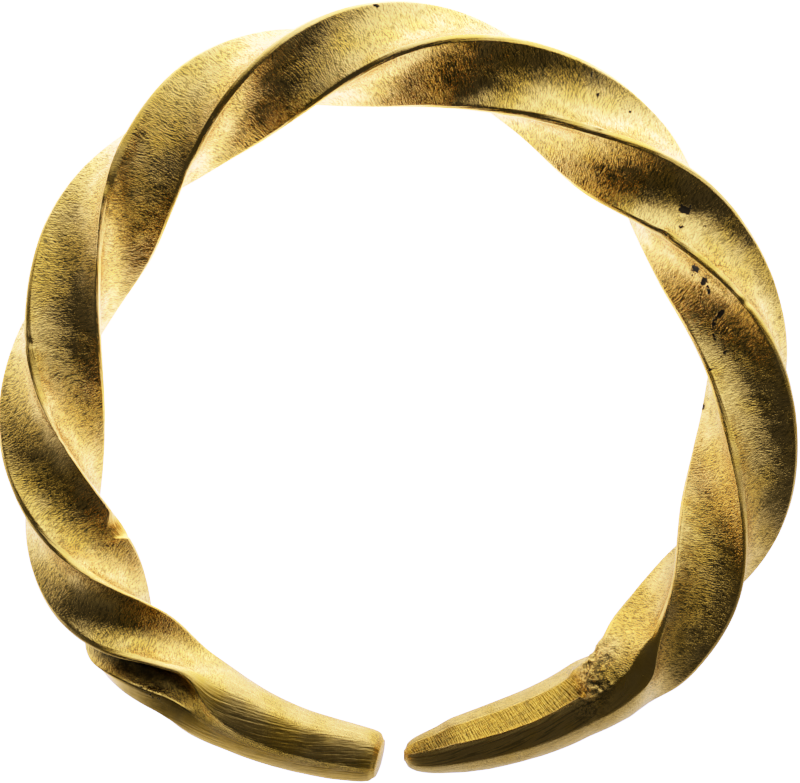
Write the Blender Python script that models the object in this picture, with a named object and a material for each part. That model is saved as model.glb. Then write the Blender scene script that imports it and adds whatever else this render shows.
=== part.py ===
"""Ring money: a gold bar of four flanges, twisted and bent into an open ring.

The ring lies flat with its hole along Z and its gap towards -Y. A station of the bar is named by its ring
angle, in degrees about the hoop's middle, counted from +X towards +Y. The bar's section is drawn in its own
plane: the first direction points out of the hoop, the second points up.
"""

import math

import bmesh
import bpy
from mathutils import Vector

MM = 0.001

# driving sizes
HOOP_RADIUS = 12.2 * MM       # middle of the bar to the middle of the hoop
FLANGE_REACH = 1.86 * MM      # middle of the bar to the edge of a flange
EDGE_LAND = 0.2 * MM          # width of the flat along a flange's edge
SEAT_DEPTH = 1.78 * MM        # middle of the bar down to the flats that the ring lies on
FACE_HOLLOW = 0.105           # depth of a hollow face, as a share of its width
SCOOP_HOLLOW = 0.4            # the same for the hammered groove behind the cut end
TIP_FULLNESS = 0.6            # how far a face swells towards the circle near the blunt tip
CUT_FULLNESS = 0.8            # the same near the cut end
BITE_DEPTH = 0.42 * MM        # bite out of one flange's upper corner, on the inside of the hoop
CUT_SLANT = 0.2               # slope of the cut end against a square cut

FLANGES = 4
FACE_STEPS = 5                # facets across one face
STATION_STEP = 2.5            # degrees of ring angle between sections
TIP_ANGLE = -89.3             # ring angle of the blunt tip
CUT_ANGLE = 266.8             # ring angle of the cut end
TIP_STEPS = (0.7, 1.7, 3.2)   # degrees back from the tip, where its nose is rounded
CUT_STEPS = (0.5, 1.6)        # degrees back from the cut, where its edge is rounded

# the hand-bent course of the bar: ring angle, share of the hoop radius, share of the flange reach
COURSE = (
    (-89.3, 1.009, 0.10),
    (-88.6, 1.009, 0.24),
    (-87.0, 1.008, 0.35),
    (-84.0, 1.003, 0.45),
    (-80.0, 0.996, 0.56),
    (-72.0, 0.995, 0.645),
    (-61.0, 1.001, 0.71),
    (-55.0, 1.003, 0.81),
    (-45.0, 1.003, 0.89),
    (-30.0, 1.002, 0.97),
    (-12.0, 1.003, 1.00),
    (5.0, 1.001, 0.99),
    (28.0, 0.969, 0.98),
    (48.0, 0.957, 1.03),
    (68.0, 0.982, 0.985),
    (90.0, 1.004, 0.985),
    (120.0, 1.004, 1.00),
    (135.0, 0.992, 0.99),
    (150.0, 0.984, 1.03),
    (165.0, 0.989, 0.98),
    (180.0, 0.997, 0.99),
    (208.0, 1.013, 0.97),
    (226.0, 1.017, 0.83),
    (236.0, 1.010, 0.77),
    (248.0, 1.007, 0.64),
    (260.0, 1.008, 0.56),
    (265.5, 1.015, 0.50),
    (266.8, 1.020, 0.43),
)

# the twist: ring angle, and how many quarter turns the bar has made there
TWIST = (
    (-90.0, -0.51),
    (-56.0, -0.51),
    (-49.5, -0.35),
    (-43.5, 0.0),
    (-32.0, 0.35),
    (-14.0, 1.0),
    (23.0, 2.0),
    (54.0, 3.0),
    (90.0, 4.0),
    (119.5, 5.0),
    (150.0, 6.0),
    (182.3, 7.0),
    (208.5, 8.0),
    (218.0, 8.48),
    (227.5, 9.03),
    (233.0, 9.2),
    (240.0, 9.12),
    (250.0, 9.07),
    (270.0, 9.07),
)

# how each flange is hammered down on the way to an end: degrees it leans, share of the reach that its
# land widens to, the ring angles where that begins, where it has all its lean and where it has all its
# width, and the share of the reach that it is beaten in
TIP_LANDS = (
    (28.0, 0.54, -41.5, -57.0, -47.5, 0.05),
    (5.0, 0.34, -48.0, -64.0, -64.0, 0.0),
    (-30.0, 0.42, -50.0, -66.0, -66.0, 0.0),
    (-18.0, 0.78, -54.5, -58.5, -57.5, 0.17),
)
CUT_LANDS = (
    (-2.0, 0.24, 228.0, 242.0, 242.0, 0.0),
    (-6.0, 0.92, 229.0, 240.0, 246.0, 0.12),
    (28.0, 0.62, 213.0, 223.0, 223.0, 0.03),
    (14.0, 0.40, 226.0, 240.0, 240.0, 0.0),
)

# ring angles between which the face after each flange fills out, first towards the tip, then the cut
TIP_FILLS = ((-43.0, -54.0), (-48.0, -64.0), (-50.0, -66.0), (-40.0, -52.0))
CUT_FILLS = ((228.0, 242.0), (233.0, 236.5), (226.0, 238.0), (226.0, 240.0))

SCOOP_FACE = 1                # the face that ends in the hammered groove
SCOOP_BEGINS = (214.0, 224.0)
BITE_FLANGE = 3
BITE_OPENS = (200.0, 203.6)
BITE_CLOSES = (205.0, 206.5)


def clear_scene():
    for item in list(bpy.data.objects):
        bpy.data.objects.remove(item, do_unlink=True)


def ease(value, start, end):
    """Go smoothly from 0 at start to 1 at end."""
    share = min(max((value - start) / (end - start), 0.0), 1.0)
    return share * share * (3.0 - 2.0 * share)


def knot_slope(rows, index, column):
    """Slope through one row of a table, level where the values turn back."""
    if index in (0, len(rows) - 1):
        return 0.0
    before, here, after = rows[index - 1], rows[index], rows[index + 1]
    rise_in = (here[column] - before[column]) / (here[0] - before[0])
    rise_out = (after[column] - here[column]) / (after[0] - here[0])
    if rise_in * rise_out <= 0.0:
        return 0.0
    return 2.0 * rise_in * rise_out / (rise_in + rise_out)


def smooth_through(rows, angle, column):
    """Read a column of a table at a ring angle, on a smooth curve through its rows."""
    index = 0
    while index < len(rows) - 2 and angle > rows[index + 1][0]:
        index += 1
    low, high = rows[index], rows[index + 1]
    span = high[0] - low[0]
    t = min(max((angle - low[0]) / span, 0.0), 1.0)
    bend_in = (t ** 3 - 2.0 * t ** 2 + t) * span * knot_slope(rows, index, column)
    bend_out = (t ** 3 - t ** 2) * span * knot_slope(rows, index + 1, column)
    blend = 3.0 * t ** 2 - 2.0 * t ** 3
    return low[column] + (high[column] - low[column]) * blend + bend_in + bend_out


def flange_edge(flange, angle, reach):
    """The two corners of a flange's land: the one ahead of it, then the one behind."""
    lean_tip, land_tip, tip_begins, tip_leans, tip_widens, tip_sunk = TIP_LANDS[flange]
    lean_cut, land_cut, cut_begins, cut_leans, cut_widens, cut_sunk = CUT_LANDS[flange]
    to_tip = ease(angle, tip_begins, tip_leans)
    to_cut = ease(angle, cut_begins, cut_leans)
    tip_wide = ease(angle, tip_begins, tip_widens)
    cut_wide = ease(angle, cut_begins, cut_widens)
    turns = smooth_through(TWIST, angle, 1)
    direction = math.radians(90.0 + 90.0 * (turns - flange) + lean_tip * to_tip + lean_cut * to_cut)
    narrow = min(EDGE_LAND, 0.5 * reach)
    land = narrow + (land_tip * reach - narrow) * tip_wide + (land_cut * reach - narrow) * cut_wide
    out = Vector((math.cos(direction), math.sin(direction)))
    along = Vector((-out.y, out.x)) * (0.5 * land)
    far = out * reach * (1.0 - tip_sunk * to_tip - cut_sunk * to_cut)
    return far + along, far - along


def bite(edges, angle):
    """Take a bite out of the upper corner of one flange's land."""
    depth = BITE_DEPTH * ease(angle, *BITE_OPENS) * (1.0 - ease(angle, *BITE_CLOSES))
    lower, upper = edges[BITE_FLANGE]
    across = (edges[(BITE_FLANGE + 1) % FLANGES][0] - upper).normalized()
    edges[BITE_FLANGE] = (lower + Vector((-0.06, -0.15)) * depth, upper + (across - Vector((0.0, 0.2))) * depth)


def face_rise(face, angle, chord, middle, reach):
    """How far a face's middle stands out from its chord: less than nothing where it is hollow."""
    filled = max(ease(angle, *TIP_FILLS[face]), ease(angle, *CUT_FILLS[face]))
    hollow = FACE_HOLLOW
    if face == SCOOP_FACE:
        hollow += (SCOOP_HOLLOW - FACE_HOLLOW) * ease(angle, *SCOOP_BEGINS)
    room = reach - middle
    fullness = CUT_FULLNESS if angle > 0.0 else TIP_FULLNESS
    return fullness * room * filled - hollow * chord * (1.0 - filled)


def section(angle, reach):
    """The bar's outline at a ring angle, flange by flange, as points in the section's plane."""
    edges = [flange_edge(flange, angle, reach) for flange in range(FLANGES)]
    bite(edges, angle)
    outline = []
    for face in range(FLANGES):
        start = edges[face][1]
        end = edges[(face + 1) % FLANGES][0]
        chord = end - start
        outward = Vector((-chord.y, chord.x)).normalized()
        middle = outward.dot(0.5 * (start + end))
        if middle < 0.0:
            outward, middle = -outward, -middle
        rise = face_rise(face, angle, chord.length, middle, reach)
        outline.append(edges[face][0])
        for step in range(FACE_STEPS):
            share = step / FACE_STEPS
            outline.append(start + chord * share + outward * (rise * 4.0 * share * (1.0 - share)))
    return outline


def station_angles():
    """Ring angles of the sections, even along the bar and closer at its two rounded ends."""
    inner_start = TIP_ANGLE + TIP_STEPS[-1]
    inner_end = CUT_ANGLE - CUT_STEPS[-1]
    count = math.ceil((inner_end - inner_start) / STATION_STEP)
    even = [inner_start + (inner_end - inner_start) * i / count for i in range(count + 1)]
    tip = [TIP_ANGLE] + [TIP_ANGLE + back for back in TIP_STEPS[:-1]]
    cut = [CUT_ANGLE - back for back in reversed(CUT_STEPS[:-1])] + [CUT_ANGLE]
    return tip + even + cut


def place_section(angle):
    """The section's outline at a ring angle, as points in space around the hoop's middle."""
    hoop_radius = HOOP_RADIUS * smooth_through(COURSE, angle, 1)
    reach = FLANGE_REACH * smooth_through(COURSE, angle, 2)
    turn = math.radians(angle)
    outward = Vector((math.cos(turn), math.sin(turn), 0.0))
    ahead = Vector((-math.sin(turn), math.cos(turn), 0.0))
    slant = CUT_SLANT * ease(angle, CUT_ANGLE - 3.0 * STATION_STEP, CUT_ANGLE)
    points = []
    for point in section(angle, reach):
        points.append(outward * (hoop_radius + point.x) - ahead * (slant * point.x) + Vector((0.0, 0.0, point.y)))
    return points


def sweep_bar(mesh):
    """Draw the bar along the ring: one loop of edges, extruded from section to section."""
    angles = station_angles()
    first = place_section(angles[0])
    loop = bmesh.ops.create_circle(mesh, cap_ends=False, segments=len(first), radius=FLANGE_REACH)["verts"]
    for vert, point in zip(loop, first):
        vert.co = point
    edges = [mesh.edges.get((loop[i], loop[(i + 1) % len(loop)])) for i in range(len(loop))]
    bmesh.ops.contextual_create(mesh, geom=edges)
    for angle in angles[1:]:
        grown = bmesh.ops.extrude_edge_only(mesh, edges=edges)["geom"]
        fresh = {edge for edge in grown if isinstance(edge, bmesh.types.BMEdge)}
        following = {}
        for vert in loop:
            for edge in vert.link_edges:
                other = edge.other_vert(vert)
                if edge not in fresh and any(link in fresh for link in other.link_edges):
                    following[vert] = other
        loop = [following[vert] for vert in loop]
        for vert, point in zip(loop, place_section(angle)):
            vert.co = point
        edges = [mesh.edges.get((loop[i], loop[(i + 1) % len(loop)])) for i in range(len(loop))]
    bmesh.ops.contextual_create(mesh, geom=edges)


def wear_flats(mesh):
    """Cut the lowest flange edges level, so that the ring lies on small flats."""
    everything = mesh.verts[:] + mesh.edges[:] + mesh.faces[:]
    bmesh.ops.bisect_plane(
        mesh, geom=everything, dist=1e-7, plane_co=(0.0, 0.0, -SEAT_DEPTH), plane_no=(0.0, 0.0, -1.0), clear_outer=True
    )
    rims = [edge for edge in mesh.edges if edge.is_boundary]
    bmesh.ops.holes_fill(mesh, edges=rims, sides=0)


def set_on_ground(mesh):
    """Move the ring so that it lies on Z = 0 with the middle of its outline over the origin."""
    low = Vector([min(vert.co[axis] for vert in mesh.verts) for axis in range(3)])
    high = Vector([max(vert.co[axis] for vert in mesh.verts) for axis in range(3)])
    middle = 0.5 * (low + high)
    bmesh.ops.translate(mesh, verts=mesh.verts[:], vec=(-middle.x, -middle.y, -low.z))


def gold():
    """Rich yellow gold with a soft satin shine."""
    material = bpy.data.materials.new("gold")
    material.use_nodes = True
    shader = material.node_tree.nodes["Principled BSDF"]
    shader.inputs["Base Color"].default_value = (0.72, 0.47, 0.14, 1.0)
    shader.inputs["Metallic"].default_value = 1.0
    shader.inputs["Roughness"].default_value = 0.34
    return material


def make_ring():
    mesh = bmesh.new()
    sweep_bar(mesh)
    wear_flats(mesh)
    bmesh.ops.triangulate(mesh, faces=mesh.faces[:], quad_method="SHORT_EDGE")
    bmesh.ops.recalc_face_normals(mesh, faces=mesh.faces[:])
    set_on_ground(mesh)
    data = bpy.data.meshes.new("twisted_ring")
    mesh.to_mesh(data)
    mesh.free()
    data.shade_smooth()
    data.set_sharp_from_angle(angle=math.radians(32.0))
    ring = bpy.data.objects.new("twisted_ring", data)
    ring.data.materials.append(gold())
    bpy.context.scene.collection.objects.link(ring)
    return ring


clear_scene()
make_ring()
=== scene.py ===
"""Ring money: a gold bar of four flanges, twisted, hammered plain at both ends and bent into an open ring.

The ring lies flat with its hole along Z and its gap towards -Y. A station of the bar is named by its ring
angle, in degrees about the hoop's middle, counted from +X towards +Y. Lengths are in metres unless a name
says otherwise.
"""

import logging
import math
from collections.abc import Callable
from dataclasses import dataclass, field
from enum import Enum
from functools import partial

import bmesh
import bpy
import numpy as np
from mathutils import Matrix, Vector, noise


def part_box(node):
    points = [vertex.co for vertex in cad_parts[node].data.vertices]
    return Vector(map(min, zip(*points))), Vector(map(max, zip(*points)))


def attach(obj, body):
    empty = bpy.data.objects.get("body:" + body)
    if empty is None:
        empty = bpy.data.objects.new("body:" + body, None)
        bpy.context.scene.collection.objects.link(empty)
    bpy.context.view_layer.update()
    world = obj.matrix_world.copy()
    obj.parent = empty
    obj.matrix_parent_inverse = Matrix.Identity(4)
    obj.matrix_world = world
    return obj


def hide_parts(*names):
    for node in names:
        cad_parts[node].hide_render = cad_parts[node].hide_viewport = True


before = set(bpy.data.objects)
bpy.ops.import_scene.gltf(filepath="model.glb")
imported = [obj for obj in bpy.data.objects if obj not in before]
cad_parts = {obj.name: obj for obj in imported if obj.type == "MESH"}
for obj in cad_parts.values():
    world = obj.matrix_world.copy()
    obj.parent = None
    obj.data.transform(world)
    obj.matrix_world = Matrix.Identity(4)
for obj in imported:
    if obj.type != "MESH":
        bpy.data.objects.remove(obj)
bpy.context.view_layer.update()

log = logging.getLogger("ring_money")

MM = 0.001
RING_NODE = "twisted_ring"
UV_NAME = "along_and_around"

Run = tuple[float, float, float, float]
Rgb = tuple[float, float, float]
Socket = bpy.types.NodeSocket


def ease(value: np.ndarray, start: float, end: float) -> np.ndarray:
    """Go smoothly from 0 at start to 1 at end.

    Args:
        value: Where to read the step.
        start: Value at which it leaves 0.
        end: Value at which it reaches 1.

    Returns:
        The step's height at each value.
    """
    share = np.clip((np.asarray(value, float) - start) / (end - start), 0.0, 1.0)
    return share * share * (3.0 - 2.0 * share)


def bump_at(value: np.ndarray, middle: float, half_width: float) -> np.ndarray:
    """A smooth hump, 1 at its middle and 0 from half_width away.

    Args:
        value: Where to read the hump.
        middle: Value at its top.
        half_width: Distance from its top to its foot.

    Returns:
        The hump's height at each value.
    """
    return 1.0 - ease(np.abs(np.asarray(value, float) - middle), 0.0, half_width)


def grain(points: np.ndarray, size: float, seed: float) -> np.ndarray:
    """Smooth noise between about -1 and 1 at each point.

    Args:
        points: Places in millimetres, the last axis of length 3.
        size: Width of a lump of the noise in millimetres.
        seed: Shift that makes one noise differ from another.

    Returns:
        The noise at each point.
    """
    flat = points.reshape(-1, 3) / size + seed
    found = [noise.noise(Vector(place)) for place in flat]
    return np.array(found).reshape(points.shape[:-1])


def between(value: np.ndarray, start: float, full: float, fade: float, end: float) -> np.ndarray:
    """Go smoothly from 0 up to 1 and back to 0.

    Args:
        value: Where to read it.
        start: Value at which it leaves 0.
        full: Value at which it reaches 1.
        fade: Value at which it leaves 1.
        end: Value at which it is back at 0.

    Returns:
        Its height at each value.
    """
    return ease(value, start, full) * (1.0 - ease(value, fade, end))


def outward_ways(points: np.ndarray) -> np.ndarray:
    """The way out of the metal at each point of the outlines.

    Args:
        points: The outlines' points as (station, point, outward and up).

    Returns:
        Vectors of length 1, in the same order.
    """
    way = np.roll(points, -1, axis=1) - np.roll(points, 1, axis=1)
    normal = np.stack([-way[:, :, 1], way[:, :, 0]], axis=2)
    normal /= np.maximum(np.linalg.norm(normal, axis=2, keepdims=True), 1e-12)
    return normal if np.sum(normal * points, axis=2).mean() > 0.0 else -normal


def set_out(name: str, mesh: bmesh.types.BMesh) -> bpy.types.Object:
    """Make a bmesh an object of the scene, at the origin.

    Args:
        name: Name of the object and its mesh.
        mesh: The bmesh, which is freed.

    Returns:
        The object.
    """
    data = bpy.data.meshes.new(name)
    mesh.to_mesh(data)
    mesh.free()
    made = bpy.data.objects.new(name, data)
    bpy.context.scene.collection.objects.link(made)
    return made


class Table:
    """A quantity that is given at some ring angles and runs smoothly between them."""

    def __init__(self, *rows: tuple[float, float]) -> None:
        """Keep the rows, pairs of ring angle and value in order of the angle."""
        self.angles, self.values = np.array(rows).T

    def read(self, angles: np.ndarray) -> np.ndarray:
        """Values on a smooth curve through the rows, level at both ends and where the values turn back.

        Args:
            angles: Ring angles in degrees.

        Returns:
            The value at each angle.
        """
        rates = np.diff(self.values) / np.diff(self.angles)
        into, out = rates[:-1], rates[1:]
        goes_on = into * out > 0.0
        slopes = np.zeros(len(self.angles))
        slopes[1:-1][goes_on] = 2.0 * (into * out)[goes_on] / (into + out)[goes_on]
        index = np.clip(np.searchsorted(self.angles, angles, side="left") - 1, 0, len(self.angles) - 2)
        low, start = self.angles[index], self.values[index]
        span = self.angles[index + 1] - low
        t = np.clip((angles - low) / span, 0.0, 1.0)
        bend_in = (t ** 3 - 2.0 * t ** 2 + t) * span * slopes[index]
        bend_out = (t ** 3 - t ** 2) * span * slopes[index + 1]
        blend = 3.0 * t ** 2 - 2.0 * t ** 3
        return start + (self.values[index + 1] - start) * blend + bend_in + bend_out


@dataclass(frozen=True)
class Hammering:
    """How a flange is hammered down on the way to an end of the bar."""

    lean: float          # degrees it is pushed over
    land: float          # share of the reach that its land widens to
    begins: float        # ring angle
    complete: float      # ring angle where it has all its lean
    wide: float          # ring angle where it has all its width
    sunk: float = 0.0    # share of the reach that it is beaten in

    def share(self, angles: np.ndarray, complete: float) -> np.ndarray:
        """How far the hammering has gone.

        Args:
            angles: Ring angles in degrees.
            complete: Ring angle where it has gone all the way.

        Returns:
            0 on the twisted bar, 1 from complete to the end.
        """
        way = math.copysign(1.0, self.complete - self.begins)
        return ease(way * angles, way * self.begins, way * complete)


@dataclass(frozen=True)
class Roll:
    """A stretch where a flange's land is rolled over to one side."""

    flange: int
    angle: float         # ring angle of its middle
    degrees: float
    half_length: float = 22.0


@dataclass(frozen=True)
class Nick:
    """A small cut or dent in a flange's edge."""

    flange: int
    angle: float         # ring angle
    depth: float         # millimetres, as is the length
    length: float


@dataclass(frozen=True)
class Spot:
    """One of the pits, burrs, crusts of dirt and patches of painted shade, by its place in the plan from the hoop's
    middle, in millimetres.
    """

    east: float
    north: float
    long: float
    wide: float
    turn: float = 0.0    # degrees from +X of its long way
    depth: float = 0.0   # millimetres, less than nothing for a burr
    dirt_and_shade: float = 1.0

    def cover(self, east: np.ndarray, north: np.ndarray) -> np.ndarray:
        """How strongly the spot covers each place of the plan.

        Args:
            east: Millimetres towards +X from the hoop's middle.
            north: Millimetres towards +Y from the hoop's middle.

        Returns:
            1 in its middle, 0 from nearly twice its size away.
        """
        turn = math.radians(self.turn)
        away_x, away_y = east - self.east, north - self.north
        along = away_x * math.cos(turn) + away_y * math.sin(turn)
        across = away_y * math.cos(turn) - away_x * math.sin(turn)
        far = np.hypot(along / (0.5 * self.long), across / (0.5 * self.wide))
        return 1.0 - ease(far, 0.6, 1.9)


@dataclass(frozen=True)
class SurfaceMarks:
    """Pits, burrs and crusts of dirt on the bar's upper side, and a patch of painted shade beside the scoop's lip."""

    spots: tuple[Spot, ...] = (
        Spot(9.98, 6.81, 0.42, 0.27, -18.0, 0.05), Spot(9.87, 6.93, 0.2, 0.1, 70.0, 0.03),
        Spot(9.83, 6.20, 0.24, 0.1, 80.0, 0.03), Spot(10.73, 6.25, 0.12, 0.1, 0.0, 0.02),
        Spot(10.33, 4.71, 0.28, 0.2, -50.0, 0.03), Spot(10.63, 4.29, 0.3, 0.19, 70.0, 0.04),
        Spot(10.78, 3.99, 0.3, 0.13, 80.0, 0.01, 0.8), Spot(9.62, 4.46, 0.09, 0.09, 0.0, 0.02),
        Spot(10.20, 4.53, 0.1, 0.08, 0.0, 0.02), Spot(11.22, 3.15, 0.4, 0.2, 40.0, 0.02, 0.85),
        Spot(10.98, 2.84, 0.42, 0.16, 80.0, 0.01, 0.75), Spot(11.01, 2.38, 0.4, 0.13, 95.0, 0.01, 0.7),
        Spot(11.43, 1.86, 0.34, 0.1, 30.0, 0.01, 0.7), Spot(11.22, 1.68, 0.24, 0.1, 50.0, 0.0, 0.65),
        Spot(10.85, 1.21, 0.16, 0.13, 0.0, 0.02), Spot(10.63, -0.10, 0.12, 0.2, 0.0, 0.02),
        Spot(8.06, 10.26, 0.12, 0.09, 0.0, 0.02), Spot(6.95, 10.83, 0.12, 0.1, 0.0, 0.02),
        Spot(6.70, 11.55, 0.34, 0.1, 60.0, 0.0, 0.7), Spot(-0.82, 13.93, 0.22, 0.1, 0.0, 0.0),
        Spot(9.37, 5.97, 0.3, 0.16, -40.0, -0.06, 0.0), Spot(9.27, 5.92, 0.3, 0.06, -40.0, 0.03, 0.8),
        Spot(6.95, 9.68, 0.26, 0.16, -30.0, -0.04, 0.0), Spot(1.88, -11.06, 0.5, 0.3, 20.0, -0.05, 0.0),
        # The last spot is no pit but a flat patch of painted shade, a dark streak beside the scoop's lip.
        Spot(-8.55, -10.2, 1.1, 0.3, -26.0, 0.0, 0.36))
    least_up: float = 0.05   # what faces up less than this carries no dirt and no painted shade

    def carve(self, places: np.ndarray, up: np.ndarray) -> None:
        """Sink the pits and raise the burrs.

        Args:
            places: The bar's points around the hoop's middle, which are moved in place.
            up: How far each point faces up, from -1 to 1.
        """
        east, north = places[:, :, 0] / MM, places[:, :, 1] / MM
        for spot in self.spots:
            places[:, :, 2] -= spot.depth * MM * spot.cover(east, north) * (up > 0.0)

    def dirt_and_shade(self, places: np.ndarray, up: np.ndarray) -> np.ndarray:
        """Where dirt lies on the gold, and where the patch of painted shade darkens it.

        Args:
            places: The bar's points around the hoop's middle.
            up: How far each point faces up, from -1 to 1.

        Returns:
            1 in the thick of it, 0 where the gold is clean.
        """
        east, north = places[:, :, 0] / MM, places[:, :, 1] / MM
        return np.max([spot.dirt_and_shade * spot.cover(east, north) for spot in self.spots], axis=0) * (up > self.least_up)


@dataclass
class TwistedBar:
    """The gold bar itself, as a fine mesh drawn along the ring."""

    hoop_radius: float = 12.2 * MM
    flange_reach: float = 1.86 * MM
    edge_land: float = 0.29 * MM
    seat_depth: float = 1.78 * MM
    face_hollow: float = 0.105
    scoop_hollow: float = 0.52
    tip_fullness: float = 0.6
    cut_fullness: float = 0.85
    cut_rounds: tuple[float, float] = (232.0, 242.0)
    rubs: int = 5
    bite_depth: float = 0.48 * MM
    bite_flange: int = 3
    bite_run: Run = (200.0, 203.6, 205.0, 206.5)
    bite_sinks_upper: float = 0.2
    bite_moves_lower: tuple[float, float] = (-0.06, -0.15)
    cut_slant: float = 0.2
    cut_slant_length: float = 7.5
    cut_lean: float = 0.16
    cut_lean_length: float = 5.0
    flanges: int = 4
    corner_round: float = 0.04 * MM
    land_crown: float = 0.13
    face_points: int = 18
    tip_angle: float = -89.3
    cut_angle: float = 266.8
    scoop_face: int = 1
    ripple: float = 0.024 * MM
    torn: Spot = Spot(6.80, -9.66, 2.1, 1.1, 74.0)
    torn_height: float = 0.085 * MM
    edge_waver: float = 0.018 * MM
    polished_runs: tuple[Run, ...] = ((22.0, 34.0, 124.0, 132.0), (138.0, 146.0, 205.0, 215.0))
    filed_flange: int = 3
    filed_from: tuple[float, float] = (-55.0, -58.0)
    # Painted shade: the nose run darkens the filed land at the blunt tip, the lip run the lower flange's land beside
    # the scoop, and the scoop run the scoop's hollow, less towards the scoop's end.
    nose_run: Run = (78.5, 83.0, 87.5, 89.0)
    nose_shade: float = 0.65
    lip_flange: int = 2
    lip_run: Run = (222.0, 227.0, 233.0, 240.0)
    lip_shade: float = 0.6
    scoop_run: Run = (215.5, 219.0, 233.0, 236.0)
    scoop_clears: tuple[float, float] = (226.0, 234.0)
    tip_rod_from: tuple[float, float] = (-46.0, -60.0)
    cut_rod_from: tuple[float, float] = (228.0, 242.0)
    course: Table = field(default_factory=lambda: Table(
        (-89.3, 1.009), (-88.6, 1.009), (-87.0, 1.008), (-84.0, 1.003), (-80.0, 0.996), (-72.0, 0.995),
        (-61.0, 1.001), (-55.0, 1.003), (-45.0, 1.003), (-30.0, 1.002), (-12.0, 1.003), (5.0, 1.001),
        (28.0, 0.969), (48.0, 0.957), (68.0, 0.982), (90.0, 1.004), (120.0, 1.004), (135.0, 0.992),
        (150.0, 0.984), (165.0, 0.989), (180.0, 0.997), (208.0, 1.013), (226.0, 1.017), (236.0, 1.010),
        (248.0, 1.007), (260.0, 1.008), (265.5, 1.015), (266.8, 1.020)))
    reach: Table = field(default_factory=lambda: Table(
        (-89.3, 0.10), (-88.6, 0.24), (-87.0, 0.35), (-84.0, 0.45), (-80.0, 0.56), (-72.0, 0.645),
        (-61.0, 0.71), (-55.0, 0.81), (-45.0, 0.89), (-30.0, 0.97), (-12.0, 1.00), (5.0, 0.99),
        (28.0, 0.98), (48.0, 1.03), (68.0, 0.985), (90.0, 0.985), (120.0, 1.00), (135.0, 0.99),
        (150.0, 1.03), (165.0, 0.98), (180.0, 0.99), (208.0, 0.97), (226.0, 0.83), (236.0, 0.77),
        (248.0, 0.64), (260.0, 0.56), (264.6, 0.51), (266.0, 0.46), (266.8, 0.36)))
    twist: Table = field(default_factory=lambda: Table(
        (-90.0, -0.51), (-56.0, -0.51), (-49.5, -0.35), (-43.5, 0.0), (-32.0, 0.35), (-14.0, 1.0),
        (23.0, 2.0), (54.0, 3.0), (90.0, 4.0), (119.5, 5.0), (150.0, 6.0), (182.3, 7.0), (208.5, 8.0),
        (218.0, 8.48), (227.5, 9.03), (233.0, 9.2), (240.0, 9.12), (250.0, 9.07), (270.0, 9.07)))
    tip_lands: tuple[Hammering, ...] = (
        Hammering(28.0, 0.54, -41.5, -57.0, -47.5, 0.05), Hammering(5.0, 0.34, -48.0, -64.0, -64.0),
        Hammering(-30.0, 0.42, -50.0, -66.0, -66.0), Hammering(-18.0, 0.78, -54.5, -58.5, -57.5, 0.17))
    cut_lands: tuple[Hammering, ...] = (
        Hammering(-2.0, 0.24, 228.0, 242.0, 242.0), Hammering(-6.0, 0.92, 229.0, 240.0, 246.0, 0.12),
        Hammering(28.0, 0.62, 213.0, 223.0, 223.0, 0.03), Hammering(14.0, 0.40, 226.0, 240.0, 240.0))
    tip_fills: tuple[tuple[float, float], ...] = ((-43.0, -54.0), (-48.0, -64.0), (-50.0, -66.0), (-40.0, -52.0))
    cut_fills: tuple[tuple[float, float], ...] = ((228.0, 242.0), (233.0, 236.5), (226.0, 238.0), (226.0, 240.0))
    scoop_begins: tuple[float, float] = (214.0, 224.0)
    close_work: tuple[tuple[float, float, float], ...] = (
        (-89.3, -86.0, 0.2), (-66.0, -44.0, 0.3), (199.0, 209.0, 0.3), (216.0, 241.0, 0.3), (263.5, 266.8, 0.2))
    plain_step: float = 0.5
    rolls: tuple[Roll, ...] = (
        Roll(2, 150.0, 50.0, 20.0), Roll(3, 186.0, 55.0, 22.0), Roll(0, 212.0, 46.0, 18.0), Roll(1, -16.0, -38.0),
        Roll(0, -33.0, 40.0, 14.0), Roll(1, 226.0, 28.0, 14.0), Roll(2, 18.0, -8.0), Roll(3, 54.0, -6.0),
        Roll(0, -74.0, 8.0, 30.0))
    nicks: tuple[Nick, ...] = (
        Nick(3, 185.6, 0.06, 0.16), Nick(3, 170.6, 0.05, 0.14), Nick(3, 187.8, 0.03, 0.3), Nick(2, 32.3, 0.09, 0.5),
        Nick(2, 16.3, 0.07, 0.22), Nick(3, 54.3, -0.04, 0.2), Nick(2, 28.5, 0.03, 0.5), Nick(2, 19.0, 0.03, 0.4),
        Nick(2, 143.0, 0.03, 0.35), Nick(2, 146.0, 0.025, 0.3), Nick(1, 131.8, 0.08, 0.9), Nick(0, 214.0, 0.03, 0.4))

    def stations(self) -> np.ndarray:
        """Ring angles of the sections, closer together where the bar carries small forms.

        Returns:
            The angles in degrees, from the blunt tip to the cut end.
        """
        angles = [self.tip_angle]
        while angles[-1] < self.cut_angle:
            here = angles[-1]
            step = self.plain_step
            for start, end, close in self.close_work:
                if start <= here < end:
                    step = close
            angles.append(here + step)
        steps = np.array(angles) - self.tip_angle
        return self.tip_angle + steps * (self.cut_angle - self.tip_angle) / steps[-1]

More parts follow.
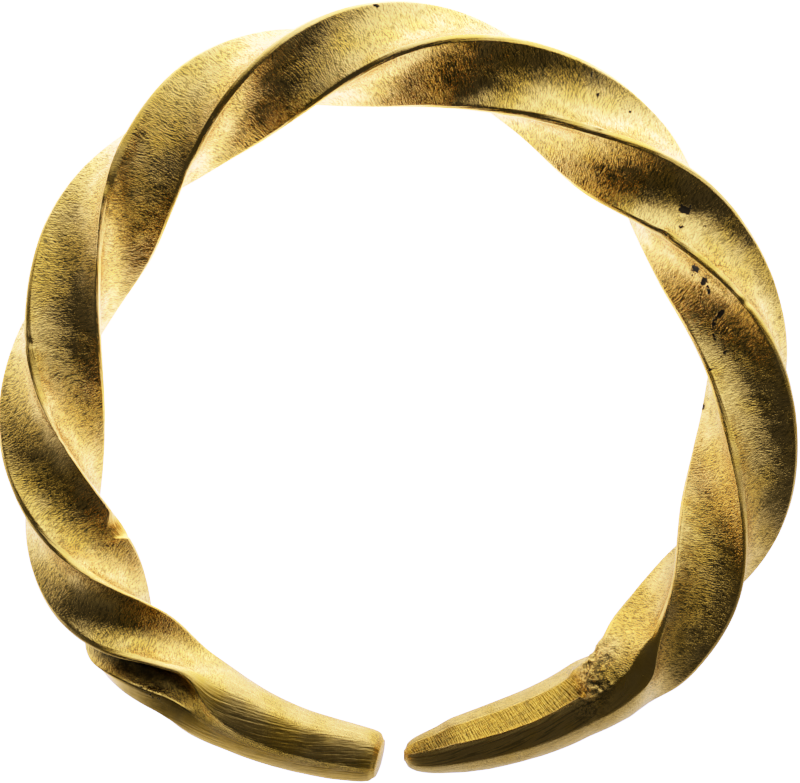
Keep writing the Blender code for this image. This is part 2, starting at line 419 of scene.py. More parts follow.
    def wear_on_edge(self, flange: int, angles: np.ndarray, hoop: np.ndarray) -> np.ndarray:
        """How much a flange's edge is worn back at ring angles, by the nicks and a slight waver.

        Args:
            flange: The flange's number.
            angles: Ring angles in degrees.
            hoop: The hoop's radius there.

        Returns:
            The lengths taken off the reach.
        """
        worn = np.zeros(len(angles))
        for nick in self.nicks:
            if nick.flange == flange:
                away = np.radians(angles - nick.angle) * hoop / MM
                worn += nick.depth * MM * bump_at(away, 0.0, nick.length)
        lengths = np.radians(angles) * hoop / MM
        line = np.stack([lengths, np.full_like(lengths, 7.0 * flange), np.zeros_like(lengths)], axis=1)
        worn += self.edge_waver * (0.45 * grain(line, 1.6, 3.1) + 0.12 * grain(line, 0.35, 8.7))
        return worn

    def flange_edge(self, flange: int, angles: np.ndarray, hoop: np.ndarray,
                    reach: np.ndarray) -> tuple[np.ndarray, np.ndarray]:
        """The two corners of a flange's land along the bar.

        Args:
            flange: The flange's number.
            angles: Ring angles in degrees.
            hoop: The hoop's radius there.
            reach: The flanges' reach there.

        Returns:
            The corner ahead, then the corner behind, each an array of (outward, up) pairs.
        """
        tip, cut = self.tip_lands[flange], self.cut_lands[flange]
        to_tip, to_cut = tip.share(angles, tip.complete), cut.share(angles, cut.complete)
        turns = self.twist.read(angles)
        direction = np.radians(90.0 + 90.0 * (turns - flange) + tip.lean * to_tip + cut.lean * to_cut)
        narrow = np.minimum(self.edge_land, 0.5 * reach)
        land = (narrow + (tip.land * reach - narrow) * tip.share(angles, tip.wide)
                + (cut.land * reach - narrow) * cut.share(angles, cut.wide))
        out = np.stack([np.cos(direction), np.sin(direction)], axis=1)
        lean = direction + np.radians(sum(roll.degrees * bump_at(angles, roll.angle, roll.half_length)
                                          for roll in self.rolls if roll.flange == flange))
        along = np.stack([-np.sin(lean), np.cos(lean)], axis=1) * (0.5 * land)[:, None]
        lowered = reach * (tip.sunk * to_tip + cut.sunk * to_cut) + self.wear_on_edge(flange, angles, hoop)
        far = out * (reach - lowered)[:, None]
        return far + along, far - along

    def face_rise(self, face: int, angles: np.ndarray, chord: np.ndarray, room: np.ndarray) -> np.ndarray:
        """How far a face's middle stands out from its chord, less than nothing where it is hollow.

        Args:
            face: The face's number, that of the flange before it.
            angles: Ring angles in degrees.
            chord: The face's width there.
            room: What is left between its chord and the reach.

        Returns:
            The rise at each angle.
        """
        tip_from, tip_to = self.tip_fills[face]
        filled = np.maximum(ease(-angles, -tip_from, -tip_to), ease(angles, *self.cut_fills[face]))
        hollow = np.full(len(angles), self.face_hollow)
        if face == self.scoop_face:
            hollow += (self.scoop_hollow - self.face_hollow) * ease(angles, *self.scoop_begins)
        fullness = np.where(angles > 0.0, self.cut_fullness, self.tip_fullness)
        return fullness * room * filled - hollow * chord * (1.0 - filled)

    def sections(self, angles: np.ndarray) -> tuple[np.ndarray, np.ndarray, np.ndarray, np.ndarray]:
        """The bar's outline at every station, with rounded corners on its lands.

        Args:
            angles: Ring angles in degrees.

        Returns:
            The points as (station, point, outward and up), how much each lies on a land, its face's number and how
            far over that face it lies.
        """
        hoop = self.hoop_radius * self.course.read(angles)
        reach = self.flange_reach * self.reach.read(angles)
        edges = [self.flange_edge(flange, angles, hoop, reach) for flange in range(self.flanges)]
        self.scoop_bite(angles, edges)
        rounded = ease(angles, *self.cut_rounds)
        even = np.arange(1.0, self.face_points + 1.0) / (self.face_points + 1.0)
        shares = even - 0.06 * np.sin(2.0 * math.pi * even)
        rows = []
        for flange in range(self.flanges):
            ahead, behind = edges[flange]
            following = edges[(flange + 1) % self.flanges][0]
            before = edges[flange - 1][1]
            land = np.linalg.norm(ahead - behind, axis=1)
            rounding = np.minimum(self.corner_round, 0.3 * land)
            land_way = (behind - ahead) / land[:, None]
            into = self.face_points_at(flange - 1, angles, before, ahead, reach)
            away = self.face_points_at(flange, angles, behind, following, reach)
            last = np.minimum(rounding / np.linalg.norm(ahead - before, axis=1), 0.2)
            first = np.minimum(rounding / np.linalg.norm(following - behind, axis=1), 0.2)
            near_in, near_out = into(1.0 - last), away(first)
            on_ahead = ahead + land_way * rounding[:, None]
            on_behind = behind - land_way * rounding[:, None]
            middle = 0.5 * (ahead + behind)
            narrow = np.minimum(land, self.edge_land)
            rise = self.land_crown * narrow ** 2 / land + 0.5 * rounded * land ** 2 / (8.0 * reach)
            proud = middle / np.linalg.norm(middle, axis=1)[:, None] * rise[:, None]
            shoulder = 0.75 * proud
            rows += [near_in, 0.25 * on_ahead + 0.5 * ahead + 0.25 * near_in, on_ahead,
                     0.5 * (middle + on_ahead) + shoulder, middle + proud, 0.5 * (middle + on_behind) + shoulder,
                     on_behind, 0.25 * on_behind + 0.5 * behind + 0.25 * near_out, near_out]
            rows += [away(first + (1.0 - 2.0 * first) * share) for share in shares]
        before_crown, after_crown = 4, 5
        on_land = np.tile([0.3, 0.8, 1.0, 1.0, 1.0, 1.0, 1.0, 0.8, 0.3] + [0.0] * self.face_points, self.flanges)
        over = np.tile([1.0] * before_crown + [0.0] * after_crown + list(shares), self.flanges)
        faces = np.repeat(np.arange(self.flanges), len(rows) // self.flanges)
        points = self.soften(np.roll(np.stack(rows, axis=1), -before_crown, axis=1), rounded)
        return points, *(np.roll(row, -before_crown) for row in (on_land, faces, over))

    def soften(self, points: np.ndarray, share: np.ndarray) -> np.ndarray:
        """Rub the corners off the outlines.

        Args:
            points: The outlines' points.
            share: How far to rub them down, for each station.

        Returns:
            The softened outlines.
        """
        smooth = points
        for _ in range(self.rubs):
            smooth = 0.5 * smooth + 0.25 * (np.roll(smooth, 1, axis=1) + np.roll(smooth, -1, axis=1))
        return points + (smooth - points) * share[:, None, None]

    def scoop_bite(self, angles: np.ndarray, edges: list[tuple[np.ndarray, np.ndarray]]) -> None:
        """Take a smooth bite out of the upper corner of one flange.

        Args:
            angles: Ring angles in degrees.
            edges: The corners of every flange's land, which are moved in place.
        """
        depth = self.bite_depth * between(angles, *self.bite_run)
        lower, upper = edges[self.bite_flange]
        across = edges[(self.bite_flange + 1) % self.flanges][0] - upper
        across /= np.linalg.norm(across, axis=1)[:, None]
        upper += (across - (0.0, self.bite_sinks_upper)) * depth[:, None]
        lower += np.array(self.bite_moves_lower) * depth[:, None]

    def face_points_at(self, face: int, angles: np.ndarray, start: np.ndarray, end: np.ndarray,
                       reach: np.ndarray) -> Callable[[np.ndarray], np.ndarray]:
        """A function that gives a face's points at a share of the way over it.

        Args:
            face: The face's number.
            angles: Ring angles in degrees.
            start: Its first corner at each angle.
            end: Its last corner at each angle.
            reach: The flanges' reach there.

        Returns:
            A function from shares to points.
        """
        chord = end - start
        width = np.linalg.norm(chord, axis=1)
        outward = np.stack([-chord[:, 1], chord[:, 0]], axis=1) / width[:, None]
        middle = np.sum(outward * 0.5 * (start + end), axis=1)
        outward = np.where(middle[:, None] < 0.0, -outward, outward)
        rise = self.face_rise(face % self.flanges, angles, width, reach - np.abs(middle))

        def at(share: np.ndarray) -> np.ndarray:
            """Points at a share of the way over the face."""
            lift = outward * (rise * 4.0 * share * (1.0 - share))[:, None]
            return start + chord * share[:, None] + lift

        return at

    def place(self, angles: np.ndarray, points: np.ndarray) -> np.ndarray:
        """Points of the outlines as points in space around the hoop's middle.

        Args:
            angles: Ring angles in degrees.
            points: The outlines' points.

        Returns:
            The places, station by station.
        """
        turn = np.radians(angles)
        out_x, out_y = np.cos(turn)[:, None], np.sin(turn)[:, None]
        radial = (self.hoop_radius * self.course.read(angles))[:, None] + points[:, :, 0]
        slant = self.cut_slant * ease(angles, self.cut_angle - self.cut_slant_length, self.cut_angle)
        lean = self.cut_lean * ease(angles, self.cut_angle - self.cut_lean_length, self.cut_angle)
        back = slant[:, None] * points[:, :, 0] + lean[:, None] * points[:, :, 1]
        return np.stack([out_x * radial + out_y * back, out_y * radial - out_x * back, points[:, :, 1]], axis=2)

    def finish_maps(self, angles: np.ndarray, land: np.ndarray, faces: np.ndarray,
                    over: np.ndarray) -> dict[str, np.ndarray]:
        """What the finish has to know about each point of the bar.

        Args:
            angles: Ring angles of the stations.
            land: How much each point of an outline lies on a land.
            faces: Each point's face number.
            over: How far over its face each point lies.

        Returns:
            By name, an array with a value for each station and point.
        """
        everywhere = np.ones(len(angles))
        polished = np.max([between(angles, *run) for run in self.polished_runs], axis=0)
        filed = ease(-angles, *(-angle for angle in self.filed_from))
        worked = np.maximum(ease(-angles, *(-angle for angle in self.tip_rod_from)), ease(angles, *self.cut_rod_from))
        # Painted shade darkens the scoop's hollow, the filed land at the blunt tip and the lip's land beside the scoop.
        deep = between(angles, *self.scoop_run) * (1.0 - 0.5 * ease(angles, *self.scoop_clears))
        in_scoop = (faces == self.scoop_face) * between(over, 0.0, 0.1, 0.75, 1.0)
        on_filed = (faces == self.filed_flange) & (land > 0.5)
        on_lip = (faces == self.lip_flange) & (land > 0.5)
        painted_shade = (np.outer(deep, in_scoop) + np.outer(self.nose_shade * between(-angles, *self.nose_run), on_filed)
                  + np.outer(self.lip_shade * between(angles, *self.lip_run), on_lip))
        return {"land": np.outer(everywhere, land), "polished": np.outer(polished, land),
                "filed": np.outer(filed, on_filed), "worked": np.outer(worked, np.ones(len(land))), "painted_shade": painted_shade}

    def relief(self, angles: np.ndarray, points: np.ndarray, land: np.ndarray) -> np.ndarray:
        """Move the outlines' points in and out for the marks of the hammer.

        Args:
            angles: Ring angles in degrees.
            points: The outlines' points.
            land: How much each point of an outline lies on a land.

        Returns:
            The moved outlines.
        """
        at = self.place(angles, points) / MM
        waves = grain(at, 1.5, 0.0) + 0.5 * grain(at, 0.55, 5.3)
        calm = 1.0 - 0.65 * land[None, :]
        ends = 1.0 - 0.6 * ease(-angles, 86.0, 89.0) - 0.6 * ease(angles, 264.0, 266.8)
        crumple = 1.0 - 2.0 * np.abs(grain(at, 0.42, 11.0)) + 0.5 * grain(at, 0.2, 17.0)
        push = self.ripple * waves * calm * ends[:, None] + self.torn_height * self.torn_patch(at) * (crumple - 0.45)
        return points + outward_ways(points) * push[:, :, None]

    def torn_patch(self, at: np.ndarray) -> np.ndarray:
        """Where the surface is torn up beside the blunt end's flats.

        Args:
            at: Places in millimetres from the hoop's middle.

        Returns:
            1 in the patch and 0 outside it.
        """
        return self.torn.cover(at[..., 0], at[..., 1]) * ease(at[..., 2], 0.0, 0.3)

    def surface(self) -> bpy.types.Object:
        """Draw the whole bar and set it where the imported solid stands.

        Returns:
            The bar as an object at the origin.
        """
        angles = self.stations()
        points, land, faces, over = self.sections(angles)
        points = self.relief(angles, points, land)
        places = self.place(angles, points)
        up = outward_ways(points)[:, :, 1]
        marks = SurfaceMarks()
        marks.carve(places, up)
        places[:, :, 2] = np.maximum(places[:, :, 2], -self.seat_depth)
        maps = self.finish_maps(angles, land, faces, over)
        maps["dirt_and_shade"], maps["torn"] = marks.dirt_and_shade(places, up), self.torn_patch(places / MM)
        along, around = len(angles) - 1, places.shape[1]

        mesh = bmesh.new()
        mesh.loops.layers.uv.new(UV_NAME)
        layers = {name: mesh.verts.layers.float.new(name) for name in maps}
        bmesh.ops.create_grid(mesh, x_segments=along, y_segments=around, size=1.0, calc_uvs=True)
        for vert in mesh.verts:
            row = round((vert.co.x + 1.0) * 0.5 * along)
            column = round((vert.co.y + 1.0) * 0.5 * around) % around
            vert.co = places[row, column]
            for name, layer in layers.items():
                vert[layer] = maps[name][row, column]
        bmesh.ops.remove_doubles(mesh, verts=mesh.verts[:], dist=1e-7)
        rims = [edge for edge in mesh.edges if edge.is_boundary]
        bmesh.ops.holes_fill(mesh, edges=rims, sides=0)
        bmesh.ops.recalc_face_normals(mesh, faces=mesh.faces[:])
        bmesh.ops.translate(mesh, verts=mesh.verts[:], vec=self.to_frame())
        ring = set_out("gold_bar", mesh)
        ring.data.shade_smooth()
        self.stretch_map(ring.data, places)
        return ring

    def to_frame(self) -> Vector:
        """The way from the hoop's middle to the frame's origin.

        Returns:
            The shift that every point gets.
        """
        low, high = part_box(RING_NODE)
        plain = TwistedBar(edge_waver=0.0, nicks=())
        angles = plain.stations()
        spread = plain.place(angles, plain.sections(angles)[0]).reshape(-1, 3)
        middle = 0.5 * (spread.min(axis=0) + spread.max(axis=0))
        return Vector((0.5 * (low[0] + high[0]) - middle[0], 0.5 * (low[1] + high[1]) - middle[1],
                       low[2] + self.seat_depth))

    @staticmethod
    def stretch_map(data: bpy.types.Mesh, places: np.ndarray) -> None:
        """Give the map real lengths in millimetres, along the bar and around it.

        Args:
            data: The bar's mesh, with a map from 0 to 1 both ways.
            places: The bar's points, station by station.
        """
        closed = np.concatenate([places, places[:, :1]], axis=1)
        along = np.linalg.norm(np.diff(places.mean(axis=1), axis=0), axis=1)
        around = np.linalg.norm(np.diff(closed, axis=1), axis=2).mean(axis=0)
        layer = data.uv_layers[UV_NAME].uv
        flat = np.zeros(len(data.loops) * 2, np.float32)
        layer.foreach_get("vector", flat)
        for axis, steps in enumerate((along, around)):
            run = np.concatenate([[0.0], np.cumsum(steps)]) / MM
            flat[axis::2] = np.interp(flat[axis::2], np.linspace(0.0, 1.0, len(run)), run)
        layer.foreach_set("vector", flat)


class Operation(Enum):
    """What a shader node does with numbers or vectors."""

    ADD = "ADD"
    SUBTRACT = "SUBTRACT"
    MULTIPLY = "MULTIPLY"
    DIVIDE = "DIVIDE"
    MAXIMUM = "MAXIMUM"
    MULTIPLY_ADD = "MULTIPLY_ADD"
    DOT_PRODUCT = "DOT_PRODUCT"
    LENGTH = "LENGTH"


class Wire:
    """Short ways to add and join shader nodes in one tree."""

    def __init__(self, tree: bpy.types.NodeTree) -> None:
        """Keep the tree that nodes are added to."""
        self.tree = tree

    def fill(self, node: bpy.types.Node, inputs: dict[str | int, object]) -> None:
        """Give a node's inputs their values.

        Args:
            node: The node.
            inputs: Plain values, or outputs of other nodes to link, by the input's name or number.
        """
        for name, value in inputs.items():
            if isinstance(value, Socket):
                self.tree.links.new(value, node.inputs[name])
            else:
                node.inputs[name].default_value = value

    def node(self, kind: str, inputs: dict[str | int, object] | None = None, **settings: object) -> bpy.types.Node:
        """Add a node.

        Args:
            kind: The node's type name.
            inputs: Values or sockets for its inputs, by name or number.
            settings: Properties of the node itself.

        Returns:
            The new node.
        """
        made = self.tree.nodes.new(kind)
        for name, value in settings.items():
            setattr(made, name, value)
        self.fill(made, inputs or {})
        return made

    def join(self, how: Operation, first: float | Socket, *others: float | Socket) -> Socket:
        """Join values from left to right, two at a time.

        Args:
            how: The way to join them.
            first: First value or socket.
            others: The values or sockets that follow.

        Returns:
            The result.
        """
        for other in others:
            first = self.node("ShaderNodeMath", {0: first, 1: other}, operation=how.value).outputs[0]
        return first

    def vector(self, how: Operation, *values: object) -> bpy.types.Node:
        """Add a node that works on vectors, with its values or sockets in order."""
        return self.node("ShaderNodeVectorMath", dict(enumerate(values)), operation=how.value)

    def span(self, value: Socket, low: float, high: float, to_low: float = 0.0, to_high: float = 1.0) -> Socket:
        """Map a range smoothly onto another, held at its ends.

        Args:
            value: The socket to map.
            low: Start of its range.
            high: End of its range.
            to_low: Result at the start.
            to_high: Result at the end.

        Returns:
            The mapped socket.
        """
        inputs = {"Value": value, "From Min": low, "From Max": high, "To Min": to_low, "To Max": to_high}
        return self.node("ShaderNodeMapRange", inputs, interpolation_type="SMOOTHSTEP").outputs[0]

    def noise(self, place: Socket, in_one_mm: float, detail: float, roughness: float) -> Socket:
        """Add noise to read on the surface.

        Args:
            place: The place in metres.
            in_one_mm: How many lumps a millimetre holds.
            detail: Its finer layers.
            roughness: How strong they are.

        Returns:
            The noise, from 0 to 1.
        """
        inputs = {"Vector": place, "Scale": in_one_mm / MM, "Detail": detail, "Roughness": roughness}
        return self.node("ShaderNodeTexNoise", inputs).outputs["Fac"]

    def mix(self, share: float | Socket, first: Rgb | Socket, second: Rgb) -> Socket:
        """Mix two colours.

        Args:
            share: How much of the second, a value or a socket.
            first: First colour.
            second: Second colour.

        Returns:
            The mixed colour.
        """
        first = first if isinstance(first, Socket) else (*first, 1.0)
        return self.node("ShaderNodeMix", {0: share, 6: first, 7: (*second, 1.0)}, data_type="RGBA").outputs[2]

    def attribute(self, name: str) -> Socket:
        """The value of one of the mesh's attributes."""
        return self.node("ShaderNodeAttribute", attribute_name=name).outputs["Fac"]

    def seen_or_lighting(self, seen: float, lighting: Socket) -> Socket:
        """Show the camera one strength while another lights the gold.

        Args:
            seen: Strength that the camera sees.
            lighting: Strength of the light that it gives.

        Returns:
            The strength to use.
        """
        by_camera = self.node("ShaderNodeLightPath").outputs["Is Camera Ray"]
        more = self.join(Operation.MULTIPLY, by_camera, self.join(Operation.SUBTRACT, seen, lighting))
        return self.join(Operation.ADD, more, lighting)


@dataclass(frozen=True)
class Strokes:
    """One field of strokes on the gold."""

    lean: float          # degrees from the bar's own way
    length: float        # millimetres, as is the width
    width: float
    seed: float


class HairMarks:
    """Node group for fields of short hair-fine strokes that lean one way."""

    def __init__(self) -> None:
        """Build the group, which puts out a height from 0 to 1."""
        self.tree = bpy.data.node_groups.new("hair_marks", "ShaderNodeTree")
        new_socket = self.tree.interface.new_socket
        new_socket(name="Place", in_out="INPUT", socket_type="NodeSocketVector")
        for label in ("Turn", "Length", "Width", "Seed"):
            new_socket(name=label, in_out="INPUT", socket_type="NodeSocketFloat")
        new_socket(name="Height", in_out="OUTPUT", socket_type="NodeSocketFloat")
        wire = Wire(self.tree)
        source = wire.node("NodeGroupInput").outputs
        turned = wire.node("ShaderNodeVectorRotate", {"Vector": source["Place"], "Angle": source["Turn"]},
                           rotation_type="Z_AXIS").outputs[0]
        parts = wire.node("ShaderNodeSeparateXYZ", {0: turned}).outputs
        x = wire.join(Operation.DIVIDE, parts[0], source["Length"])
        y = wire.join(Operation.DIVIDE, parts[1], source["Width"])
        place = wire.node("ShaderNodeCombineXYZ", {0: x, 1: y, 2: source["Seed"]}).outputs[0]
        marks = wire.node("ShaderNodeTexNoise", {"Vector": place, "Scale": 1.0, "Detail": 3.0, "Roughness": 0.55,
                                                 "Distortion": 0.25}).outputs["Fac"]
        wire.node("NodeGroupOutput", {"Height": wire.span(marks, 0.3, 0.7)})

    def lay(self, wire: Wire, place: Socket, marks: Strokes) -> Socket:
        """Lay one field of strokes in a material.

        Args:
            wire: The material's wiring.
            place: The place on the surface in millimetres.
            marks: The strokes to lay.

        Returns:
            Their height, from 0 to 1.
        """
        inputs = {"Place": place, "Turn": math.radians(-marks.lean), "Length": marks.length,
                  "Width": marks.width, "Seed": marks.seed}
        return wire.node("ShaderNodeGroup", inputs, node_tree=self.tree).outputs["Height"]


@dataclass(frozen=True)
class SatinGold:
    """Soft yellow gold, twisted and hammered, with hair-fine strokes, worn lands and dark dirt in its pits, and painted
    shade in the strokes' grooves, in the torn patch's crevices, in the scoop, at the blunt tip, on the lip beside the
    scoop and in a patch beside that lip.
    """

    colour: Rgb = (0.92, 0.57, 0.165)
    deep_colour: Rgb = (0.89, 0.505, 0.07)
    filed_colour: Rgb = (0.9, 0.49, 0.06)
    # colour of the painted shade in the low parts of the strokes and marks
    groove_shade_colour: Rgb = (0.18, 0.125, 0.038)
    # colour of the painted shade in the scoop, at the blunt tip, on the lip and in the torn patch's crevices
    painted_shade_colour: Rgb = (0.05, 0.038, 0.017)
    # colour of the dirt in the pits and crusts, and of the painted shade in the patch beside the scoop's lip
    dirt_and_shade_colour: Rgb = (0.022, 0.015, 0.009)
    edge_tint: Rgb = (1.0, 0.9, 0.7)
    roughness: float = 0.11
    land_roughness: float = 0.26
    clear_layer: float = 0.42
    clear_layer_on_rods: float = 0.25
    clear_roughness: float = 0.15
    stroke_height: float = 0.0145 * MM
    long_height: float = 0.007 * MM
    file_height: float = 0.018 * MM
    torn_height: float = 0.05 * MM
    dirt_height: float = 0.02 * MM
    pore_height: float = 0.004 * MM
    grain_height: float = 0.003 * MM
    curl: float = 0.36
    slight_curl: float = 0.06
    crossing: tuple[Strokes, ...] = (
        Strokes(68.0, 0.3, 0.042, 0.0), Strokes(100.0, 0.22, 0.04, 4.0), Strokes(38.0, 0.27, 0.042, 9.0))
    crossing_shares: tuple[float, ...] = (0.7, 0.42, 0.36)
    long_marks: Strokes = Strokes(-4.0, 1.5, 0.036, 21.0)
    file_marks: Strokes = Strokes(55.0, 0.24, 0.048, 33.0)

    def strokes(self, wire: Wire, hair: HairMarks, place: Socket) -> Socket:
        """Lay three fields of crossing strokes over each other.

        Args:
            wire: The material's wiring.
            hair: The hair marks.
            place: The warped place on the surface in millimetres.

        Returns:
            The strokes' height, from about 0 to 1.
        """
        fields = [wire.join(Operation.MULTIPLY, hair.lay(wire, place, one), share)
                  for one, share in zip(self.crossing, self.crossing_shares)]
        return wire.join(Operation.SUBTRACT, wire.join(Operation.ADD, *fields), 0.5 * (sum(self.crossing_shares) - 1.0))

    def material(self) -> bpy.types.Material:
        """Make the finish.

        Returns:
            The material.
        """
        made = bpy.data.materials.new("satin_gold")
        made.use_nodes = True
        shader = made.node_tree.nodes["Principled BSDF"]
        wire = Wire(made.node_tree)
        span = wire.span
        plus, less, times, most = (partial(wire.join, how) for how in (
            Operation.ADD, Operation.SUBTRACT, Operation.MULTIPLY, Operation.MAXIMUM))
        where = wire.node("ShaderNodeUVMap", uv_map=UV_NAME).outputs["UV"]
        solid = wire.node("ShaderNodeTexCoord").outputs["Object"]
        land, worked, torn, filed = (wire.attribute(name) for name in ("land", "worked", "torn", "filed"))

        bend = wire.node("ShaderNodeTexNoise", {"Vector": where, "Scale": 1.1, "Detail": 1.0}).outputs["Color"]
        centred = wire.vector(Operation.SUBTRACT, bend, (0.5, 0.5, 0.5)).outputs[0]
        curly, straight = (wire.vector(Operation.MULTIPLY_ADD, centred, (much, much, 0.0), where).outputs[0]
                           for much in (self.curl, self.slight_curl))
        hair = HairMarks()
        strokes = self.strokes(wire, hair, curly)
        long_marks = hair.lay(wire, straight, self.long_marks)
        file_marks = hair.lay(wire, straight, self.file_marks)
        fine, blotch = wire.noise(solid, 14.0, 3.0, 0.6), wire.noise(solid, 0.55, 3.0, 0.55)
        small, ragged = wire.noise(solid, 3.2, 2.0, 0.6), wire.noise(solid, 7.5, 2.0, 0.6)

        # Dirt in the pits and crusts, and painted shade in the patch beside the scoop's lip, broken up by noise.
        dirt_and_shade = span(plus(wire.attribute("dirt_and_shade"), times(less(ragged, 0.5), 2.0)), 0.5, 0.66)
        share = times(less(1.0, times(land, 0.85)), less(1.0, times(worked, 0.3)),
                      span(blotch, 0.38, 0.62, 0.68, 1.12))
        rise = plus(
            times(strokes, self.stroke_height, share),
            times(long_marks, self.long_height, most(worked, times(land, 0.6))),
            times(file_marks, self.file_height, filed), times(ragged, self.torn_height, torn),
            times(dirt_and_shade, fine, self.dirt_height), times(small, self.pore_height), times(fine, self.grain_height))
        bumped = wire.node("ShaderNodeBump", {"Height": rise, "Distance": 1.0, "Strength": 1.0}).outputs["Normal"]

        # Painted shade in the low parts of the file marks on the filed land, the long marks on the rods and the
        # crossing strokes.
        file_mark_shade = times(filed, span(small, 0.35, 0.6, 0.3, 1.0), span(file_marks, 0.65, 0.1, 0.0, 0.8))
        long_mark_shade = times(worked, span(long_marks, 0.6, 0.1, 0.0, 0.5))
        groove_shade = most(times(span(strokes, 0.72, 0.06), share, 0.95), file_mark_shade, long_mark_shade)
        # Painted shade in the torn patch's crevices, darker where its relief is low.
        crevice_shade = times(torn, span(ragged, 0.56, 0.42, 0.0, 0.8))
        # Painted shade in the scoop, at the blunt tip and on the lip, broken up by noise, together with the torn
        # patch's crevices.
        painted_shade = most(times(wire.attribute("painted_shade"), span(small, 0.75, 0.35, 0.55, 0.95)), crevice_shade)
        tone = wire.mix(span(blotch, 0.36, 0.64), self.colour, self.deep_colour)
        for mask, colour in ((times(filed, 0.85), self.filed_colour), (groove_shade, self.groove_shade_colour),
                             (painted_shade, self.painted_shade_colour), (dirt_and_shade, self.dirt_and_shade_colour)):
            tone = wire.mix(mask, tone, colour)

        satin, clean = less(land, wire.attribute("polished")), less(1.0, dirt_and_shade)
        clear = span(worked, 0.0, 1.0, self.clear_layer, self.clear_layer_on_rods)
        wire.fill(shader, {
            "Base Color": tone, "Metallic": clean, "Normal": bumped, "Coat Normal": bumped,
            "Roughness": plus(
                times(satin, self.land_roughness - self.roughness), self.roughness, times(less(blotch, 0.5), 0.08),
                times(most(worked, painted_shade), 0.04), times(dirt_and_shade, 0.5)),
            "Specular IOR Level": plus(times(clean, 0.4), 0.1),
            "Coat Weight": times(less(1.0, most(dirt_and_shade, painted_shade, groove_shade, filed)), clear)})
        shader.inputs["Coat Roughness"].default_value = self.clear_roughness
        shader.inputs["Specular Tint"].default_value = (*self.edge_tint, 1.0)
        return made


@dataclass(frozen=True)
class PaleFloor:
    """A plain white table that glows and has a polished face, as a light table does."""

    side: float = 1.2
    glow: float = 3.2
    glow_near: float = 2.8
    glow_far: float = 0.2
    glow_fades: tuple[float, float] = (13.0 * MM, 26.0 * MM)
    glow_slope: float = 0.64
    slope_reach: float = 18.0 * MM
    glow_to_softbox: float = 1.6
    to_softbox: tuple[float, float] = (10.0 * MM, 70.0 * MM)
    softbox_azimuth: float = 106.0
    gloss: float = 0.8
    roughness: float = 0.2

    def lay(self) -> bpy.types.Object:
        """Make the floor.

        Returns:
            The floor.
        """
        mesh = bmesh.new()
        bmesh.ops.create_grid(mesh, x_segments=1, y_segments=1, size=0.5 * self.side)
        floor = set_out("pale_floor", mesh)
        white = bpy.data.materials.new("pale_floor")
        white.use_nodes = True
        shader = white.node_tree.nodes["Principled BSDF"]
        wire = Wire(white.node_tree)
        azimuth = math.radians(self.softbox_azimuth)
        place = wire.node("ShaderNodeTexCoord").outputs["Object"]
        away = wire.vector(Operation.LENGTH, place).outputs["Value"]
        aim = (math.cos(azimuth), math.sin(azimuth), 0.0)
        towards = wire.vector(Operation.DOT_PRODUCT, place, aim).outputs["Value"]
        even = wire.span(away, *self.glow_fades, self.glow_near, self.glow_far)
        slope = wire.span(towards, -self.slope_reach, self.slope_reach, 1.0 - self.glow_slope, 1.0 + self.glow_slope)
        on_gold = wire.join(Operation.ADD, wire.join(Operation.MULTIPLY, even, slope),
                            wire.span(towards, *self.to_softbox, 0.0, self.glow_to_softbox))
        wire.fill(shader, {
            "Base Color": (self.gloss, self.gloss, self.gloss, 1.0), "Metallic": 1.0, "Roughness": self.roughness,
            "Emission Color": (1.0, 1.0, 1.0, 1.0), "Emission Strength": wire.seen_or_lighting(self.glow, on_gold)})
        floor.data.materials.append(white)
        return floor


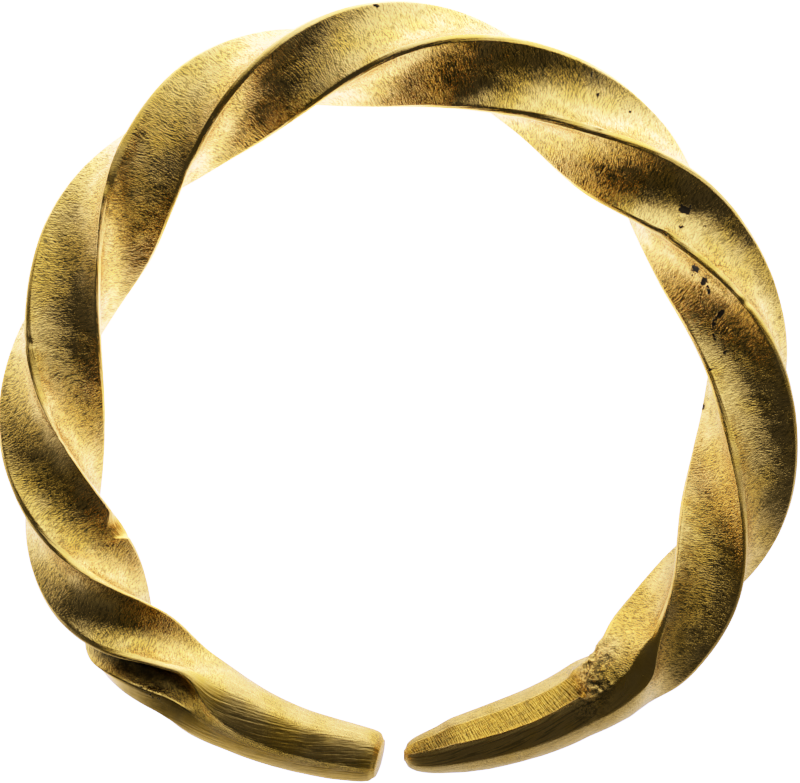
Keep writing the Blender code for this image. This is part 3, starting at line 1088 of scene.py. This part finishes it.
@dataclass(frozen=True)
class Studio:
    """The soft light round the ring and the camera above it."""

    picture_width: float = 28.0 * MM
    camera_height: float = 400.0 * MM
    sensor: float = 36.0
    middle_east: float = -0.02 * MM
    middle_north: float = -0.44 * MM
    white: float = 3.0
    zenith: float = 0.034
    horizon: float = 0.1
    softbox: float = 2.6
    softbox_azimuth: float = 70.0
    softbox_height: float = 8.0
    softbox_edge: tuple[float, float] = (0.4, 0.97)   # cosines of the angles from its middle
    light_colour: Rgb = (0.97, 1.0, 0.92)
    shoulder: tuple[float, ...] = (0.04, 0.1, 0.18, 0.3, 0.45, 0.62, 0.8)
    pale_highlights: tuple[tuple[float, float], ...] = (
        (0.06, 0.06), (0.12, 0.125), (0.16, 0.185), (0.24, 0.33), (0.34, 0.47), (0.6, 0.74), (0.82, 0.91))

    def light(self) -> None:
        """Make the surroundings: dim overhead, paler towards the horizon, a broad softbox on the far right."""
        world = bpy.data.worlds.new("soft_studio")
        bpy.context.scene.world = world
        world.use_nodes = True
        wire = Wire(world.node_tree)
        back = world.node_tree.nodes["Background"]
        way = wire.node("ShaderNodeTexCoord").outputs["Generated"]
        height = wire.node("ShaderNodeSeparateXYZ", {0: way}).outputs[2]
        azimuth, rise = math.radians(self.softbox_azimuth), math.radians(self.softbox_height)
        aim = (math.cos(azimuth) * math.cos(rise), math.sin(azimuth) * math.cos(rise), math.sin(rise))
        near = wire.vector(Operation.DOT_PRODUCT, way, aim).outputs["Value"]
        glow = wire.join(Operation.ADD, wire.span(height, 0.9, -0.05, self.zenith, self.horizon),
                         wire.span(near, *self.softbox_edge, 0.0, self.softbox))
        wire.fill(back, {"Strength": wire.seen_or_lighting(self.white, glow), "Color": (*self.light_colour, 1.0)})

    def expose(self) -> None:
        """Set the picture's tone: a soft shoulder that ends in plain white, with pale highlights."""
        view = bpy.context.scene.view_settings
        view.view_transform, view.look = "Standard", "None"
        view.exposure, view.gamma = 0.0, 1.0
        view.use_curve_mapping = True
        mapping = view.curve_mapping
        mapping.white_level = (self.white, self.white, self.white)
        blue, all_three = mapping.curves[2], mapping.curves[3]
        top = 1.0 - math.exp(-self.white)
        for x in self.shoulder:
            all_three.points.new(x, (1.0 - math.exp(-self.white * x)) / top)
        for x, y in self.pale_highlights:
            blue.points.new(x, y)
        mapping.update()

    def camera(self, hoop_middle: Vector) -> bpy.types.Object:
        """Hang the camera straight above the ring, as the photograph was taken.

        Args:
            hoop_middle: The hoop's middle in the frame.

        Returns:
            The camera.
        """
        data = bpy.data.cameras.new("camera_above")
        data.sensor_width = self.sensor
        data.lens = self.sensor * self.camera_height / self.picture_width
        data.clip_start, data.clip_end = 0.01, 10.0
        camera = bpy.data.objects.new("camera_above", data)
        camera.location = hoop_middle + Vector((-self.middle_east, -self.middle_north, self.camera_height))
        bpy.context.scene.collection.objects.link(camera)
        bpy.context.scene.camera = camera
        return camera


def main() -> None:
    """Build the studio and the ring in order, and report each piece."""
    logging.basicConfig(level=logging.INFO, format="%(message)s")
    bar, studio = TwistedBar(), Studio()
    camera = studio.camera(bar.to_frame())
    studio.light()
    studio.expose()
    floor = PaleFloor().lay()
    ring = bar.surface()
    ring.data.materials.append(SatinGold().material())
    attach(ring, "root")
    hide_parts(RING_NODE)
    log.info("%s: %.0f mm up", camera.name, camera.location.z / MM)
    for piece in (floor, ring):
        log.info("%s: %d faces", piece.name, len(piece.data.polygons))


if __name__ == "__main__":
    main()
